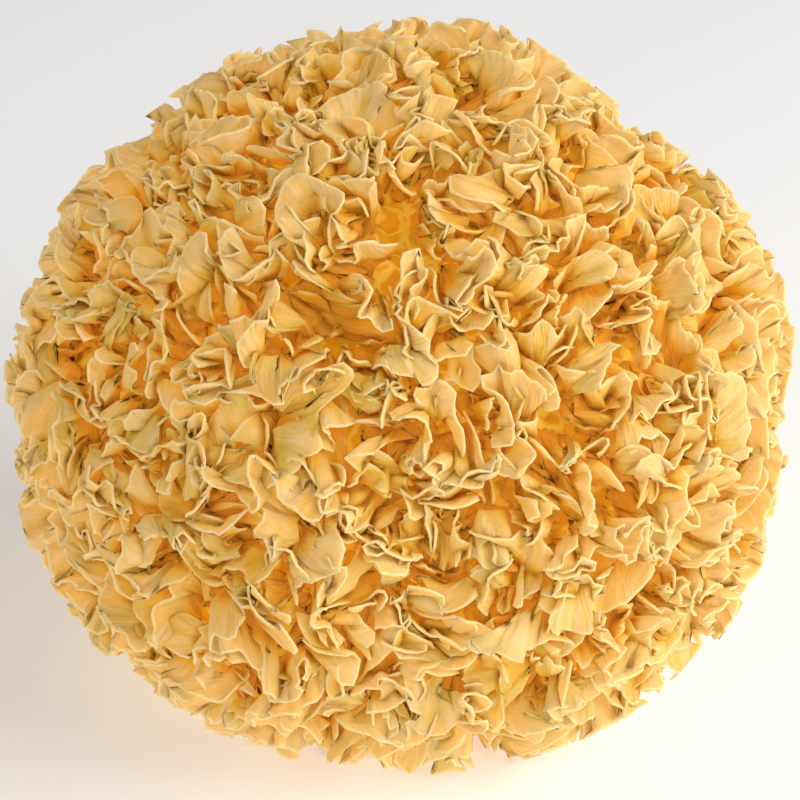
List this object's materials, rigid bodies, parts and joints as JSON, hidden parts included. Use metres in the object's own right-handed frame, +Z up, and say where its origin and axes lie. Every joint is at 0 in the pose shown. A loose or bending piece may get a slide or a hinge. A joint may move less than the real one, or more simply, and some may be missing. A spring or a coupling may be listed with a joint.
{
  "type": "dried snow fungus",
  "caption": "Near-round dried fungus head of thin ruffled cream to amber fronds round a dense heart, resting on the flat cut of its foot.",
  "frame": {"origin": "on the table, under the middle of the head's outline box", "axes": "+Z up out of the cut foot, +X along the widest side, -Y towards the viewer of the picture"},
  "size_m": [0.1002, 0.0942, 0.087],
  "materials": {
    "dried_frond": "thin, waxy and slightly translucent, cream at the frond edges and amber in the folds"
  },
  "bodies": {
    "root": {"snow_fungus": "dried_frond"}
  },
  "joints": []
}
